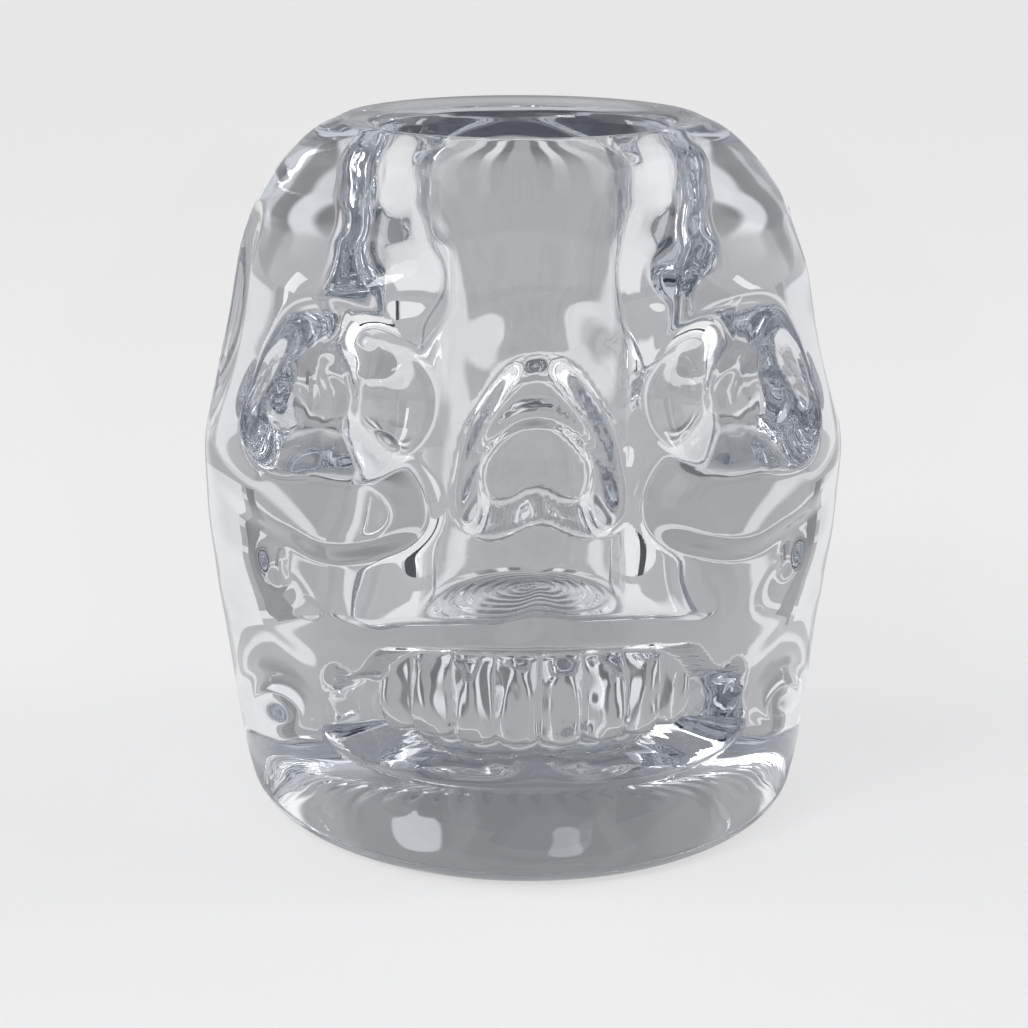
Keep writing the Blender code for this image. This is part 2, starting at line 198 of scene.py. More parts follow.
def carveFace(x, y, z):
    aside = np.abs(x)
    crest = brow["level"] - brow["fall"] * ease(brow["top"], brow["end"], aside)
    ridge = np.exp(-((z - crest) / brow["band"]) ** 2) * ease(brow["start"], brow["top"], aside)
    move = -brow["proud"] * ridge * (1 - ease(brow["fade"] * brow["end"], brow["end"], aside))
    bone = fromOutline(aside - cheekbone["aside"], z - cheekbone["level"], cheekbone["span"],
                       cheekbone["outline"])
    move -= cheekbone["proud"] * basin(bone, cheekbone["flat"])
    across, up = aside - socket["aside"], z - socket["level"]
    steep = 0.5 + 0.5 * np.cos(np.arctan2(up, across) - socket["steepWay"])
    flat = socket["flatNear"] + (socket["flatFar"] - socket["flatNear"]) * steep
    move += socket["depth"] * basin(fromOutline(across, up, socket["span"], socket["outline"]), flat)
    opening = fromOutline(x, z - nose["level"], nose["span"], nose["outline"])
    arch = z - nose["vomerLevel"] + nose["vomerFall"] * (aside / nose["span"]) ** 2
    noseDepth = nose["depth"] - nose["vomerProud"] * dome(arch / nose["vomerBand"])
    move += noseDepth * basin(opening, nose["flat"])
    for hollow in hollows:
        away = fromOutline(aside - hollow["aside"], z - hollow["level"], hollow["span"], hollow["outline"])
        move += hollow["depth"] * dome(away)
    return y + move * (1 - ease(faceEnds["full"], faceEnds["gone"], y))


# The sides: the hollow of each temple and the groove behind the jaw
flank = {"from": 0.55, "full": 0.82}  # shares of the half width where the side's carving starts and is full
temple = {"y": -10 * mm, "level": 72 * mm, "span": 15.5 * mm, "depth": 3 * mm, "roundness": 1.2,
          "outline": (0.97, 1.10, 1.10, 0.97, 0.84, 0.90, 1.03, 1.10)}
jaw = {"y": 10 * mm, "level": 20 * mm, "groove": 5.5 * mm, "rise": 26 * mm, "depth": 2 * mm}


def carveSides(x, y, z):
    side = ease(flank["from"], flank["full"], np.abs(x) / (width / 2))
    hollow = dome(fromOutline(y - temple["y"], z - temple["level"], temple["span"], temple["outline"]),
                  temple["roundness"])
    groove = dome(np.hypot((y - jaw["y"]) / jaw["groove"], (z - jaw["level"]) / jaw["rise"]))
    return x - np.sign(x) * (temple["depth"] * hollow + jaw["depth"] * groove) * side


# The mouth: a half moon with a lobe of gum at each upper corner, and teeth on one arch
mouth = {"half": 28.6 * mm, "top": 32.4 * mm, "level": 20.5 * mm, "lip": 14.0 * mm, "wall": 1.1 * mm,
         "roll": 2.6 * mm, "rollLevel": 16.5 * mm, "squareAbove": 4.0, "squareBelow": 3.2,
         "lobeAside": 25 * mm, "lobeHalf": 3.6 * mm, "lobeDrop": 3.6 * mm}
teeth = {"Arch Radius": 26.8 * mm, "Arch Y": -21.5 * mm, "Mouth Floor": 7.4 * mm, "Pitch": 7.2 * mm,
         "Low": 18.1 * mm, "Top": 32.4 * mm, "Proud": 6.6 * mm, "Crowning": 4.4 * mm, "Each Side": 5.0}
# One tooth's form: shares of the pitch for its round lower end, its lower edge and the fade of the last
# tooth, then how full it is across and from top to bottom
toothForm = {"roundEnd": 0.16, "edgeLow": 0.07, "edgeHigh": 0.17, "lastFade": 0.4, "bulge": 0.995,
             "bellyPower": 3.0, "lumpStretch": 0.45, "weld": 0.002 * mm}
ripple = {"Ripple Height": 0.06 * mm, "Ripple Scale": 90.0, "Lump Height": 0.9 * mm, "Lump Scale": 260.0,
          "Well Ripple": 0.10 * mm, "Well Scale": 150.0, "Socket Swell": 0.9 * mm, "Socket Scale": 190.0}
swells = {"aside": 31 * mm, "level": 65 * mm, "reach": 11 * mm}  # where the eye sockets swell


def mouthMask(x, z):
    aside = np.abs(x)
    top = mouth["top"] - mouth["lobeDrop"] * dome((aside - mouth["lobeAside"]) / mouth["lobeHalf"])
    above = z > mouth["level"]
    tall = np.where(above, top - mouth["level"], mouth["level"] - mouth["lip"])
    power = np.where(above, mouth["squareAbove"], mouth["squareBelow"])
    share = ((aside / mouth["half"]) ** power + (np.abs(z - mouth["level"]) / tall) ** power) ** (1 / power)
    outside = np.hypot(aside, z - mouth["level"]) * (1 - 1 / np.maximum(share, 0.1))
    rolled = 1 - ease(mouth["rollLevel"], mouth["level"], z)
    reach = mouth["wall"] + (mouth["roll"] - mouth["wall"]) * rolled
    inside = np.clip((mouth["wall"] - outside) / (mouth["wall"] + reach), 0, 1)
    return ease(0, 1, inside) * (1 - rolled) + inside**2 * rolled


# The candle well, turned about its own axis
well = {"y": -4.5 * mm, "mouth": 20.4 * mm, "taper": 0.7 * mm, "depth": 69.5 * mm, "corner": 1.8 * mm,
        "rim": 2.2 * mm, "wallRows": 26, "filletRows": 8, "plateauRows": 4, "floorRows": 36,
        "ringTall": 0.35 * mm, "rings": 7}


# A ring of small notches pressed in the foot; the chin shows its front as a line of beads
footBeads = {"y": 14 * mm, "across": 16 * mm, "along": 17 * mm, "inner": 0.88, "outer": 1.10, "count": 52,
             "tall": 0.35 * mm, "rows": 9, "innerRows": 3, "outerRows": 4}


def footRows(footEdge):
    f = footBeads
    turn = np.arctan2(footEdge[:, 0], -footEdge[:, 1])

    def oval(scale):
        return np.stack([f["across"] * scale * np.sin(turn), f["y"] - f["along"] * scale * np.cos(turn),
                         np.zeros_like(turn)], 1)

    middle = np.stack([np.zeros_like(turn), np.full_like(turn, f["y"]), np.zeros_like(turn)], 1)
    rows = [middle + (oval(f["inner"]) - middle) * share for share in np.linspace(0, 1, f["innerRows"])]
    for share in np.linspace(0, 1, f["rows"])[1:]:
        row = oval(f["inner"] + (f["outer"] - f["inner"]) * share)
        row[:, 2] = f["tall"] * math.sin(math.pi * share) ** 0.5 * (0.5 - 0.5 * np.cos(f["count"] * turn))
        rows.append(row)
    outer = oval(f["outer"])
    rows += [outer + (footEdge - outer) * share for share in np.linspace(0, 1, f["outerRows"])[1:]]
    return rows


def ringRows():
    # every ring of the surface, from the middle of the foot up the outside and down into the well
    b, w = skullBlock, well
    turn = np.arange(b["columns"]) / b["columns"] * math.tau
    turn = turn - b["faceCrowding"] * np.sin(turn)
    rows, masks, turned = [], [], []

    def outside(z, inset):
        x, y = blockPoints(turn, np.full_like(turn, z))
        y = carveFace(x, y, z)
        x = carveSides(x, y, z)
        shrink = 1 - inset / np.hypot(x, y)
        return np.stack([x * shrink, y * shrink, np.full_like(x, z)], 1)

    def ring(radius, z):
        x, y = radius * np.sin(wellTurn), w["y"] - radius * np.cos(wellTurn)
        return np.stack([x, y, np.full_like(x, z)], 1)

    footRadius = b["footRadius"]
    footEdge = outside(0.0, footRadius)
    rows += footRows(footEdge)
    for angle in np.linspace(0, math.pi / 2, w["filletRows"])[1:]:
        rows.append(outside(footRadius * (1 - math.cos(angle)), footRadius * (1 - math.sin(angle))))
    masks += [0.0] * len(rows)
    topLevel = height - b["crownEdge"]
    for z in np.linspace(footRadius, topLevel, b["rows"])[1:]:
        rows.append(outside(z, 0.0))
        masks.append(1.0)
    crownEdge = outside(height, 0.0)
    rows.append(crownEdge)
    wellTurn = np.arctan2(crownEdge[:, 0], w["y"] - crownEdge[:, 1])
    rimEdge = ring(w["mouth"] + w["rim"], height)
    for share in np.linspace(0, 1, w["plateauRows"])[1:]:
        rows.append(crownEdge * (1 - share) + rimEdge * share)
    for angle in np.linspace(0, math.pi / 2, w["filletRows"])[1:]:
        rows.append(ring(w["mouth"] + w["rim"] * (1 - math.sin(angle)),
                         height - w["rim"] * (1 - math.cos(angle))))
    turned += [0.0] * len(rows)
    floorLevel = height - w["depth"]
    floorRadius = w["mouth"] - w["taper"]
    for share in np.linspace(0, 1, w["wallRows"])[1:]:
        rows.append(ring(w["mouth"] - w["taper"] * share,
                         height - w["rim"] - share * (w["depth"] - w["rim"] - w["corner"])))
    for angle in np.linspace(0, math.pi / 2, w["filletRows"])[1:]:
        rows.append(ring(floorRadius - w["corner"] * (1 - math.cos(angle)),
                         floorLevel + w["corner"] * (1 - math.sin(angle))))
    for share in np.linspace(1, 0, w["floorRows"])[1:]:
        swell = 0.5 - 0.5 * math.cos(math.tau * w["rings"] * (1 - share))
        rows.append(ring((floorRadius - w["corner"]) * share, floorLevel + w["ringTall"] * swell))
    masks += [0.0] * (len(rows) - len(masks))
    turned += [1.0] * (len(rows) - len(turned))
    return np.array(rows), np.repeat(masks, b["columns"]), np.repeat(turned, b["columns"])


def skullBlank():
    # one mesh of rings, with its masks as attributes: mouth, pressed skin, well and eye sockets
    rings, pressed, turned = ringRows()
    count, columns, _ = rings.shape
    points = rings.reshape(-1, 3)
    below, beside = np.meshgrid(np.arange(count - 1), np.arange(columns), indexing="ij")
    right = (beside + 1) % columns
    corners = (below * columns + beside, below * columns + right,
               (below + 1) * columns + right, (below + 1) * columns + beside)
    quads = np.stack(corners, -1).reshape(-1, 4)
    mesh = bpy.data.meshes.new("pressedGlassSkull")
    mesh.from_pydata(points.tolist(), [], quads.tolist())
    onFace = pressed * (points[:, 1] < teeth["Arch Y"])
    deep = dome(np.hypot(np.abs(points[:, 0]) - swells["aside"], points[:, 2] - swells["level"])
                / swells["reach"])
    masks = {"mouthDepth": mouthMask(points[:, 0], points[:, 2]) * onFace, "pressed": pressed,
             "turned": turned, "socketDepth": deep * onFace}
    for name, values in masks.items():
        attribute = mesh.attributes.new(name, "FLOAT", "POINT")
        attribute.data.foreach_set("value", values.astype(np.float32))
    blank = bpy.data.objects.new("pressedGlassSkull", mesh)
    bpy.context.scene.collection.objects.link(blank)
    return blank


def toothTree():
    # presses the mouth back to the arch, stands the row of teeth on it and ripples the pressed skin
    tree = bpy.data.node_groups.new("toothRow", "GeometryNodeTree")
    sockets = tree.interface
    sockets.new_socket("Geometry", in_out="INPUT", socket_type="NodeSocketGeometry")
    for name in (*teeth, *ripple):
        sockets.new_socket(name, in_out="INPUT", socket_type="NodeSocketFloat")
    sockets.new_socket("Material", in_out="INPUT", socket_type="NodeSocketMaterial")
    sockets.new_socket("Geometry", in_out="OUTPUT", socket_type="NodeSocketGeometry")
    inlet = tree.nodes.new("NodeGroupInput")
    outlet = tree.nodes.new("NodeGroupOutput")

    def sums(operation, *values):
        return figure(tree, operation, *values)

    def eased(value, low, high):
        return smoothShare(tree, value, low, high)

    def stored(name):
        node = tree.nodes.new("GeometryNodeInputNamedAttribute")
        node.data_type = "FLOAT"
        node.inputs["Name"].default_value = name
        return node.outputs["Attribute"]

    given = inlet.outputs
    position = tree.nodes.new("GeometryNodeInputPosition").outputs[0]
    apart = tree.nodes.new("ShaderNodeSeparateXYZ")
    tree.links.new(position, apart.inputs[0])
    x, y, z = apart.outputs
    pitch = given["Pitch"]

    # where a point lies on the arch, as an angle, a reach and a length along it
    forward = sums("SUBTRACT", given["Arch Y"], y)
    angle = sums("ARCTAN2", x, forward)
    reach = sums("SQRT", sums("ADD", sums("MULTIPLY", x, x), sums("MULTIPLY", forward, forward)))
    sweep = sums("MULTIPLY", given["Arch Radius"], angle)

    # one tooth, repeated by the pitch: 0 at its middle and 1 between two teeth
    fraction = sums("FRACT", sums("DIVIDE", sweep, pitch))
    between = sums("MULTIPLY", sums("ABSOLUTE", sums("SUBTRACT", fraction, 0.5)), 2.0)
    roundEnd = sums("MULTIPLY", sums("MULTIPLY", between, between),
                    sums("MULTIPLY", pitch, toothForm["roundEnd"]))
    low = sums("ADD", given["Low"], roundEnd)
    body = eased(z, sums("SUBTRACT", low, sums("MULTIPLY", pitch, toothForm["edgeLow"])),
                 sums("ADD", low, sums("MULTIPLY", pitch, toothForm["edgeHigh"])))
    rowEnd = sums("MULTIPLY", given["Each Side"], pitch)
    ends = eased(sums("ABSOLUTE", sweep),
                 sums("SUBTRACT", rowEnd, sums("MULTIPLY", pitch, toothForm["lastFade"])), rowEnd)
    body = sums("MULTIPLY", body, sums("SUBTRACT", 1.0, ends))
    bulge = sums("POWER", sums("MULTIPLY", between, toothForm["bulge"]), 2.0)
    across = sums("SQRT", sums("MAXIMUM", sums("SUBTRACT", 1.0, bulge), 0.0))
    share = sums("DIVIDE", sums("SUBTRACT", z, given["Low"]), sums("SUBTRACT", given["Top"], given["Low"]))
    share = sums("MINIMUM", sums("MAXIMUM", share, 0.0), 1.0)
    belly = sums("ABSOLUTE", sums("SUBTRACT", sums("MULTIPLY", share, 2.0), 1.0))
    belly = sums("POWER", belly, toothForm["bellyPower"])
    tall = sums("SQRT", sums("MAXIMUM", sums("SUBTRACT", 1.0, belly), 0.0))
    crowning = sums("MULTIPLY", given["Crowning"], sums("MULTIPLY", across, tall))
    stand = sums("ADD", sums("SUBTRACT", given["Proud"], given["Crowning"]), crowning)
    stand = sums("MULTIPLY", body, stand)

    target = sums("ADD", sums("SUBTRACT", given["Arch Radius"], given["Mouth Floor"]), stand)
    pull = sums("MULTIPLY", sums("MINIMUM", sums("SUBTRACT", target, reach), 0.0), stored("mouthDepth"))
    newReach = sums("ADD", reach, pull)
    newX = sums("MULTIPLY", newReach, sums("SINE", angle))
    newY = sums("SUBTRACT", given["Arch Y"], sums("MULTIPLY", newReach, sums("COSINE", angle)))
    together = tree.nodes.new("ShaderNodeCombineXYZ")
    for socket, value in zip(together.inputs, (newX, newY, z)):
        tree.links.new(value, socket)
    press = tree.nodes.new("GeometryNodeSetPosition")
    tree.links.new(given["Geometry"], press.inputs["Geometry"])
    inMouth = tree.nodes.new("FunctionNodeCompare")
    inMouth.data_type = "FLOAT"
    inMouth.operation = "GREATER_THAN"
    inMouth.inputs[1].default_value = 0.0
    tree.links.new(stored("mouthDepth"), inMouth.inputs[0])
    tree.links.new(inMouth.outputs[0], press.inputs["Selection"])
    tree.links.new(together.outputs[0], press.inputs["Position"])

    # along the normal: a faint mould ripple on the pressed skin, lumps on the teeth, ripple in the well
    def wavy(scale, tall, mask, stretch=1.0):
        noise = tree.nodes.new("ShaderNodeTexNoise")
        flatter = tree.nodes.new("ShaderNodeVectorMath")
        flatter.operation = "MULTIPLY"
        plug(tree, position, flatter.inputs[0])
        plug(tree, (1.0, 1.0, stretch), flatter.inputs[1])
        tree.links.new(flatter.outputs[0], noise.inputs["Vector"])
        tree.links.new(scale, noise.inputs["Scale"])
        noise.inputs["Detail"].default_value = 1.0
        wave = sums("MULTIPLY", sums("SUBTRACT", noise.outputs[0], 0.5), 2.0)
        return sums("MULTIPLY", sums("MULTIPLY", wave, tall), mask)

    onTeeth = sums("MULTIPLY", body, stored("mouthDepth"))
    lift = sums("ADD", wavy(given["Ripple Scale"], given["Ripple Height"], stored("pressed")),
                wavy(given["Lump Scale"], given["Lump Height"], onTeeth, toothForm["lumpStretch"]))
    lift = sums("ADD", lift, wavy(given["Well Scale"], given["Well Ripple"], stored("turned")))
    lift = sums("ADD", lift, wavy(given["Socket Scale"], given["Socket Swell"], stored("socketDepth")))
    normal = tree.nodes.new("GeometryNodeInputNormal").outputs[0]
    offset = tree.nodes.new("ShaderNodeVectorMath")
    offset.operation = "SCALE"
    tree.links.new(normal, offset.inputs[0])
    tree.links.new(lift, offset.inputs["Scale"])
    rippled = tree.nodes.new("GeometryNodeSetPosition")
    tree.links.new(press.outputs[0], rippled.inputs["Geometry"])
    tree.links.new(offset.outputs[0], rippled.inputs["Offset"])

    merged = tree.nodes.new("GeometryNodeMergeByDistance")
    merged.inputs["Distance"].default_value = toothForm["weld"]
    tree.links.new(rippled.outputs[0], merged.inputs["Geometry"])
    realized = tree.nodes.new("GeometryNodeRealizeInstances")
    tree.links.new(merged.outputs[0], realized.inputs[0])
    glass = tree.nodes.new("GeometryNodeSetMaterial")
    tree.links.new(realized.outputs[0], glass.inputs["Geometry"])
    tree.links.new(given["Material"], glass.inputs["Material"])
    tree.links.new(glass.outputs[0], outlet.inputs["Geometry"])
    return tree


def pressSkull(blank, material):
    modifier = blank.modifiers.new("toothRow", "NODES")
    modifier.node_group = toothTree()
    names = {item.name: item.identifier for item in modifier.node_group.interface.items_tree
             if item.in_out == "INPUT"}
    for name, value in {**teeth, **ripple, "Material": material}.items():
        modifier[names[name]] = value
    pressed = blank.evaluated_get(bpy.context.evaluated_depsgraph_get())
    mesh = bpy.data.meshes.new_from_object(pressed)
    blank.modifiers.remove(modifier)
    blank.data = mesh
    mesh.name = "pressedGlassSkull"
    for name in ("mouthDepth", "pressed", "turned", "socketDepth"):
        if name in mesh.attributes:
            mesh.attributes.remove(mesh.attributes[name])
    mesh.shade_smooth()
    return blank


# Glass: clear and fire-polished, a little darker and bluer where the light has gone a long way in it
glassLook = {"color": (0.985, 0.989, 0.993, 1), "ior": 1.5, "roughness": 0.0,
             "depthColor": (0.745, 0.767, 0.803, 1), "density": 9.0}


def glassMaterial():
    material = bpy.data.materials.new("clearPressedGlass")
    material.use_nodes = True
    nodes, links = material.node_tree.nodes, material.node_tree.links
    shader = nodes["Principled BSDF"]
    shader.inputs["Base Color"].default_value = glassLook["color"]
    shader.inputs["Roughness"].default_value = glassLook["roughness"]
    shader.inputs["IOR"].default_value = glassLook["ior"]
    shader.inputs["Transmission Weight"].default_value = 1.0
    depth = nodes.new("ShaderNodeVolumeAbsorption")
    depth.inputs["Color"].default_value = glassLook["depthColor"]
    depth.inputs["Density"].default_value = glassLook["density"]
    links.new(depth.outputs[0], nodes["Material Output"].inputs["Volume"])
    return material


skull = pressSkull(skullBlank(), glassMaterial())
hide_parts("glass_skull")
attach(skull, "root")
print("stage 2: skull pressed,", len(skull.data.polygons), "faces")

# The studio: a wide plain white floor, a shade sheet that only the glass sees, and a grey room with
# light and dark places
studio = {
    "floor": (0.97, 0.97, 0.975, 1),
    "floorShown": 0.55,  # the share of the floor's tone that no shadow reaches
    "paper": (0.90, 0.90, 0.905, 1),
    "sheetShown": 0.75,
    "paperRoughness": 0.9,
    "flag": (0.42, 0.42, 0.425, 1),
    # painted side light: a pale tone on the shade sheet that stands in for light from the sides
    "paintedSideLight": (0.95, 0.95, 0.95, 1),
    "size": 8.0,  # half the width of the floor
    "airUnder": 0.02 * mm,  # between the foot and the sheet
    "sheetAbove": 0.01 * mm,  # between the sheet and the floor
    "room": (0.40, 0.40, 0.41, 1),
    "placeEdge": 1.2,  # how far a place in the room fades out, as a share of its half angle
}
# The skull's shade on the sheet: half the width of the strip where it starts, how it widens, leans and fades
shade = {"tone": (0.41, 0.41, 0.415, 1), "half": 0.061, "widens": 0.165, "widest": 0.42, "lean": 0.054,
         "soft": 0.010, "from": 0.045, "fadeFrom": 0.70, "fadeTo": 0.92}
# Grey flags outside the picture, and painted side light on the sheet, far aside and close on both sides of
# the skull
flags = {"half": 0.086, "widens": 0.185, "soft": 0.03, "whiteFrom": 0.34, "whiteFull": 0.46}
sides = {"from": 0.080, "to": 0.20, "soft": 0.012, "front": -0.065, "back": 0.030}
# Painted shadow under the foot: its tone, and two oval spots, a painted pale caustic and a painted dark
# contact shadow, each with its place, half width and half length
foot = {"tone": (0.36, 0.36, 0.365, 1), "full": 0.042, "to": 0.050, "spotFull": 0.6, "spotGone": 1.2,
        "spots": (("pale", 0.0, 0.010, 0.036, 0.011), ("dark", 0.0015, 0.032, 0.017, 0.0075)),
        "pale": (0.85, 0.85, 0.86, 1), "dark": (0.05, 0.055, 0.07, 1)}
# Light and dark streaks that the glass throws behind itself: degrees from straight behind, tone
streaks = {"near": 0.050, "soft": 0.006, "far": 0.085, "fade": 0.125, "blue": 1.02,
           "stops": ((0, 0.40), (5, 0.40), (7, 0.06), (11, 0.06), (13, 1.0), (17, 1.0), (19, 0.08),
                     (25, 0.10), (28, 0.8), (33, 0.8), (37, 0.43))}


def layPaper(name, level):
    half = studio["size"]
    mesh = bpy.data.meshes.new(name)
    corners = [(-half, -half, 0), (half, -half, 0), (half, half, 0), (-half, half, 0)]
    mesh.from_pydata(corners, [], [(0, 1, 2, 3)])
    material = bpy.data.materials.new(name)
    material.use_nodes = True
    mesh.materials.append(material)
    sheet = bpy.data.objects.new(name, mesh)
    sheet.location.z = level
    bpy.context.scene.collection.objects.link(sheet)
    return sheet


def showTone(material, tone, share):
    # the paper shows its own flat tone to the camera and the glass, and the rest takes the shadow
    tree = material.node_tree
    flat = tree.nodes.new("ShaderNodeEmission")
    plug(tree, tone, flat.inputs["Color"])
    paper = tree.nodes["Principled BSDF"]
    paper.inputs["Base Color"].default_value = studio["paper"]
    paper.inputs["Roughness"].default_value = studio["paperRoughness"]
    path = tree.nodes.new("ShaderNodeLightPath").outputs
    glassRays = figure(tree, "MAXIMUM", path["Is Glossy Ray"], path["Is Transmission Ray"])
    seen = figure(tree, "MAXIMUM", path["Is Camera Ray"], glassRays)
    blend = tree.nodes.new("ShaderNodeMixShader")
    tree.links.new(figure(tree, "MULTIPLY", seen, share), blend.inputs[0])
    tree.links.new(paper.outputs[0], blend.inputs[1])
    tree.links.new(flat.outputs[0], blend.inputs[2])
    tree.links.new(blend.outputs[0], tree.nodes["Material Output"].inputs["Surface"])


def plainFloor():
    floor = layPaper("studioFloor", -studio["airUnder"] - studio["sheetAbove"])
    showTone(floor.data.materials[0], studio["floor"], studio["floorShown"])
    return floor


def shadeSheet():
    # lies a hair above the floor, out of the camera's sight, and gives the glass its greys and streaks
    sheet = layPaper("shadeSheet", -studio["airUnder"])
    sheet.visible_camera = False
    sheet.visible_diffuse = False
    sheet.visible_shadow = False
    material = sheet.data.materials[0]
    tree = material.node_tree
    where = tree.nodes.new("ShaderNodeTexCoord").outputs["Object"]
    split = tree.nodes.new("ShaderNodeSeparateXYZ")
    tree.links.new(where, split.inputs[0])
    length = tree.nodes.new("ShaderNodeVectorMath")
    length.operation = "LENGTH"
    tree.links.new(where, length.inputs[0])

    def sums(operation, *values):
        return figure(tree, operation, *values)

    def eased(value, low, high):
        return smoothShare(tree, value, low, high)

    def rest(share):
        return figure(tree, "SUBTRACT", 1.0, share)

    def mixed(share, below, above):
        return mixColors(tree, share, below, above)

    x, y = split.outputs["X"], split.outputs["Y"]
    away = length.outputs["Value"]
    aside = sums("ABSOLUTE", x)
    behind = sums("MAXIMUM", y, 0.0)
    leaning = sums("ABSOLUTE", sums("SUBTRACT", x, sums("MULTIPLY", y, shade["lean"])))

    # grey flags lie just outside the picture, and painted side light far aside
    flagEdge = sums("SUBTRACT", leaning, sums("MULTIPLY", behind, flags["widens"]))
    onFlag = eased(flagEdge, flags["half"], flags["half"] + flags["soft"])
    tone = mixed(onFlag, studio["paper"], studio["flag"])
    tone = mixed(eased(aside, flags["whiteFrom"], flags["whiteFull"]), tone, studio["paintedSideLight"])

    # painted side light beside the skull, and grey in front of it
    nearSide = sums("MULTIPLY", eased(aside, sides["from"], sides["from"] + sides["soft"]),
                    rest(eased(aside, sides["to"], sides["to"] + sides["soft"])))
    level = sums("MULTIPLY", eased(y, sides["front"], sides["front"] + sides["soft"]),
                 rest(eased(y, sides["back"], sides["back"] + sides["soft"])))
    tone = mixed(sums("MULTIPLY", nearSide, level), tone, studio["paintedSideLight"])
    tone = mixed(eased(y, sides["front"] - sides["soft"], sides["front"]), studio["flag"], tone)

    # the skull's own shade, a widening strip behind it
    widening = sums("MULTIPLY", sums("MINIMUM", behind, shade["widest"]), shade["widens"])
    stripEdge = sums("SUBTRACT", leaning, widening)
    strip = rest(eased(stripEdge, shade["half"], shade["half"] + shade["soft"]))
    strip = sums("MULTIPLY", strip, eased(y, shade["from"], shade["from"] + shade["soft"]))
    strip = sums("MULTIPLY", strip, rest(eased(y, shade["fadeFrom"], shade["fadeTo"])))
    tone = mixed(strip, tone, shade["tone"])

    # streaks of light and dark that fan out behind the glass, over a quarter turn
    turn = sums("MULTIPLY", sums("ARCTAN2", leaning, sums("MAXIMUM", y, 1 * mm)), 2 / math.pi)
    fan = tree.nodes.new("ShaderNodeValToRGB")
    fan.color_ramp.interpolation = "EASE"
    ramp = fan.color_ramp.elements
    while len(ramp) < len(streaks["stops"]):
        ramp.new(0.5)
    for element, (degrees, grey) in zip(ramp, streaks["stops"]):
        element.position = degrees / 90
        element.color = (grey, grey, grey * streaks["blue"], 1)
    tree.links.new(turn, fan.inputs[0])
    reach = sums("MULTIPLY", eased(away, streaks["near"], streaks["near"] + streaks["soft"]),
                 rest(eased(away, streaks["far"], streaks["fade"])))
    tone = mixed(sums("MULTIPLY", reach, strip), tone, fan.outputs["Color"])

    # painted shadow under the foot, with a painted pale caustic in it and a painted dark contact shadow
    # toward its back
    tone = mixed(eased(away, foot["full"], foot["to"]), foot["tone"], tone)
    for name, middleX, middleY, halfWide, halfLong in foot["spots"]:
        across = sums("DIVIDE", sums("SUBTRACT", x, middleX), halfWide)
        deep = sums("DIVIDE", sums("SUBTRACT", y, middleY), halfLong)
        spot = sums("ADD", sums("MULTIPLY", across, across), sums("MULTIPLY", deep, deep))
        tone = mixed(eased(spot, foot["spotFull"], foot["spotGone"]), foot[name], tone)
    showTone(material, tone, studio["sheetShown"])
    return sheet


plainFloor()
shadeSheet()

# Cards that stand round the skull out of the picture and draw white and dark lines in the glass:
# the turn where each starts and ends, from the way the back looks, on both sides, and its tone
cards = {"away": 0.32, "low": 2 * mm, "tall": 0.13, "posts": 7,
         "white": (0.92, 0.92, 0.92, 1), "dim": (0.24, 0.24, 0.25, 1), "dark": (0.03, 0.034, 0.045, 1),
         "turns": ((32, 36, "dim"), (38, 70, "white"), (72, 78, "dark"), (81, 112, "white"),
                   (114, 146, "dark"))}


def standCards():
    for start, end, tone in cards["turns"]:
        points, faces = [], []
        for side in (-1, 1):
            for turn in np.radians(np.linspace(start, end, cards["posts"])):
                x, y = side * cards["away"] * math.sin(turn), cards["away"] * math.cos(turn)
                points += [(x, y, cards["low"]), (x, y, cards["tall"])]
        for first in (0, 2 * cards["posts"]):
            faces += [(first + k, first + k + 2, first + k + 3, first + k + 1)
                      for k in range(0, 2 * (cards["posts"] - 1), 2)]
        mesh = bpy.data.meshes.new(tone + "Card")
        mesh.from_pydata(points, [], faces)
        material = bpy.data.materials.new(tone + "Card")
        material.use_nodes = True
        nodes = material.node_tree.nodes
        glow = nodes.new("ShaderNodeEmission")
        glow.inputs["Color"].default_value = cards[tone]
        material.node_tree.links.new(glow.outputs[0], nodes["Material Output"].inputs["Surface"])
        mesh.materials.append(material)
        card = bpy.data.objects.new(tone + "Card", mesh)
        card.visible_camera = False
        card.visible_diffuse = False
        card.visible_shadow = False
        bpy.context.scene.collection.objects.link(card)


standCards()

# Places in the room, by the way they lie: turn from the face to the skull's left, rise, half angle, colour
places = {
    "whiteLeft": (-100, 28, 28, (1.3, 1.3, 1.3, 1)),
    "whiteRight": (100, 28, 28, (1.3, 1.3, 1.3, 1)),
    "paleCeiling": (180, 72, 12, (0.26, 0.27, 0.29, 1)),
    "greyBehind": (178, 31, 22, (0.29, 0.29, 0.30, 1)),
    "windowBehind": (161.5, 31.0, 2.8, (0.62, 0.62, 0.64, 1)),
    "smallWindowBehind": (-178.5, 31.0, 1.8, (0.46, 0.46, 0.48, 1)),
    "darkFront": (0, 4, 24, (0.05, 0.055, 0.07, 1)),
    "paleFront": (-10, 40, 22, (0.75, 0.75, 0.76, 1)),
    "whiteFront": (-35, 48, 12, (1.8, 1.8, 1.8, 1)),
}
ceiling = {"color": (0.16, 0.165, 0.18, 1), "from": 50, "full": 62}


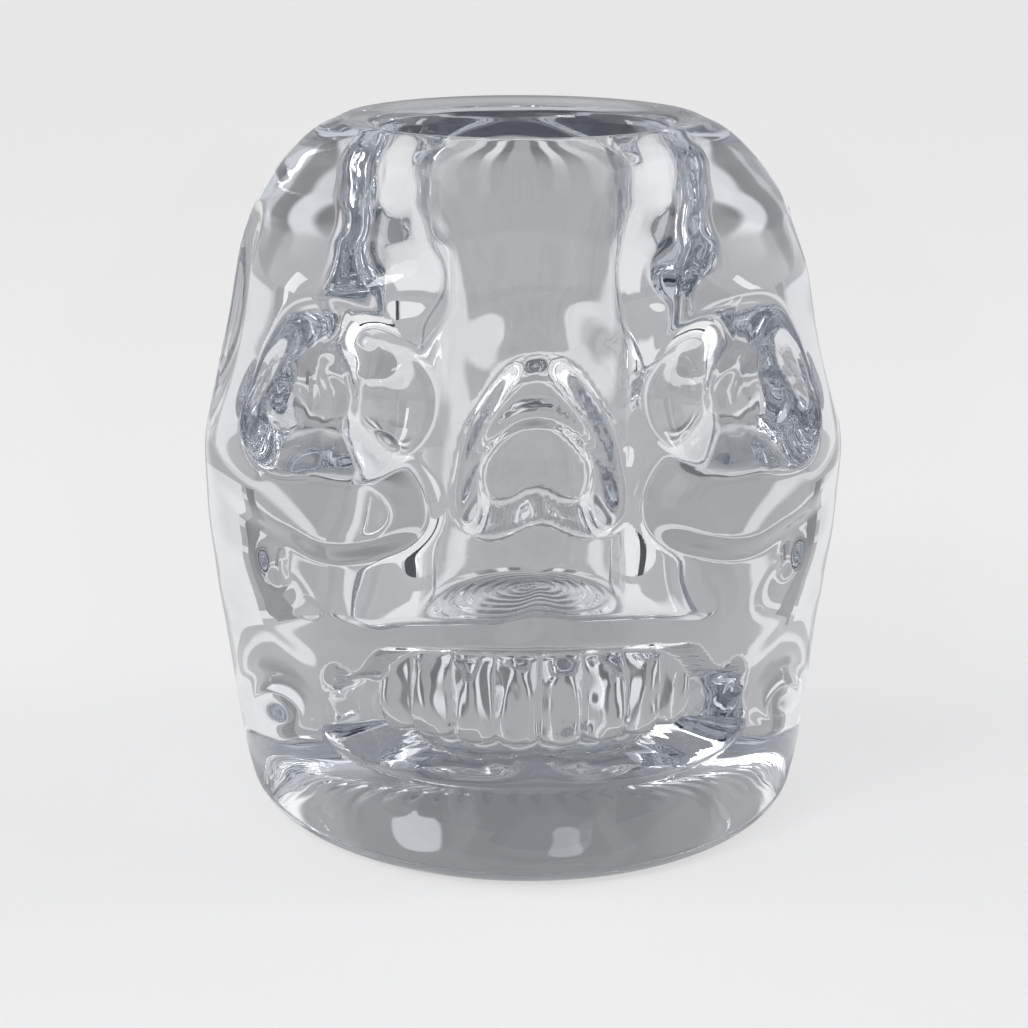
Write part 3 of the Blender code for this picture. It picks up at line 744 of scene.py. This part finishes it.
def greyRoom():
    world = bpy.data.worlds.new("greyRoom")
    bpy.context.scene.world = world
    world.use_nodes = True
    tree = world.node_tree
    where = tree.nodes.new("ShaderNodeTexCoord").outputs["Generated"]
    split = tree.nodes.new("ShaderNodeSeparateXYZ")
    tree.links.new(where, split.inputs[0])
    low, high = (math.sin(math.radians(ceiling[key])) for key in ("from", "full"))
    upward = smoothShare(tree, split.outputs["Z"], low, high)
    color = mixColors(tree, upward, studio["room"], ceiling["color"])
    for name, (turn, rise, half, tone) in places.items():
        turn, rise, half = math.radians(turn), math.radians(rise), math.radians(half)
        near = tree.nodes.new("ShaderNodeVectorMath")
        near.operation = "DOT_PRODUCT"
        near.label = name
        tree.links.new(where, near.inputs[0])
        near.inputs[1].default_value = (math.cos(rise) * math.sin(turn), -math.cos(rise) * math.cos(turn),
                                        math.sin(rise))
        edge = math.cos(half * studio["placeEdge"])
        inside = smoothShare(tree, near.outputs["Value"], edge, math.cos(half))
        color = mixColors(tree, inside, color, tone)
    tree.links.new(color, tree.nodes["Background"].inputs["Color"])


greyRoom()

# Soft boxes: place, width, height, watts, colour
lamps = {
    "keySoftBox": ((-0.50, -0.55, 0.60), 0.22, 0.22, 1.3, (1.0, 1.0, 1.0)),
    "rightStrip": ((0.65, 0.05, 0.25), 0.08, 0.40, 0.6, (1.0, 1.0, 1.0)),
    "leftStrip": ((-0.65, 0.15, 0.20), 0.08, 0.40, 0.6, (1.0, 1.0, 1.0)),
}
for name, (place, wide, tall, watts, color) in lamps.items():
    light = bpy.data.lights.new(name, "AREA")
    light.shape = "RECTANGLE"
    light.size = wide
    light.size_y = tall
    light.energy = watts
    light.color = color
    lamp = bpy.data.objects.new(name, light)
    lamp.location = place
    lamp.rotation_euler = (Vector((0, 0, height / 2)) - Vector(place)).to_track_quat("-Z", "Y").to_euler()
    bpy.context.scene.collection.objects.link(lamp)

# The camera, solved from the photograph's mouth ellipse, teeth and foot
view = {"away": 0.413, "up": 0.142, "pitch": math.radians(13.8), "turn": math.radians(-3.0),
        "aside": -0.0011, "focalPixels": 2850, "imagePixels": 1028, "sensor": 36, "nearest": 0.01}
cameraData = bpy.data.cameras.new("photoCamera")
cameraData.sensor_width = view["sensor"]
cameraData.lens = view["sensor"] * view["focalPixels"] / view["imagePixels"]
cameraData.clip_start = view["nearest"]
camera = bpy.data.objects.new("photoCamera", cameraData)
camera.location = (view["away"] * math.sin(view["turn"]) + view["aside"],
                   -view["away"] * math.cos(view["turn"]), view["up"])
camera.rotation_euler = (math.pi / 2 - view["pitch"], 0, view["turn"])
bpy.context.scene.collection.objects.link(camera)
bpy.context.scene.camera = camera
bpy.context.scene.view_settings.view_transform = "Standard"

# Light is thrown about inside the glass many times before it leaves
bounces = {"all": 24, "transmission": 20, "glossy": 20}
bpy.context.scene.cycles.max_bounces = bounces["all"]
bpy.context.scene.cycles.transmission_bounces = bounces["transmission"]
bpy.context.scene.cycles.glossy_bounces = bounces["glossy"]
print("stage 3: studio, lamps and camera set")
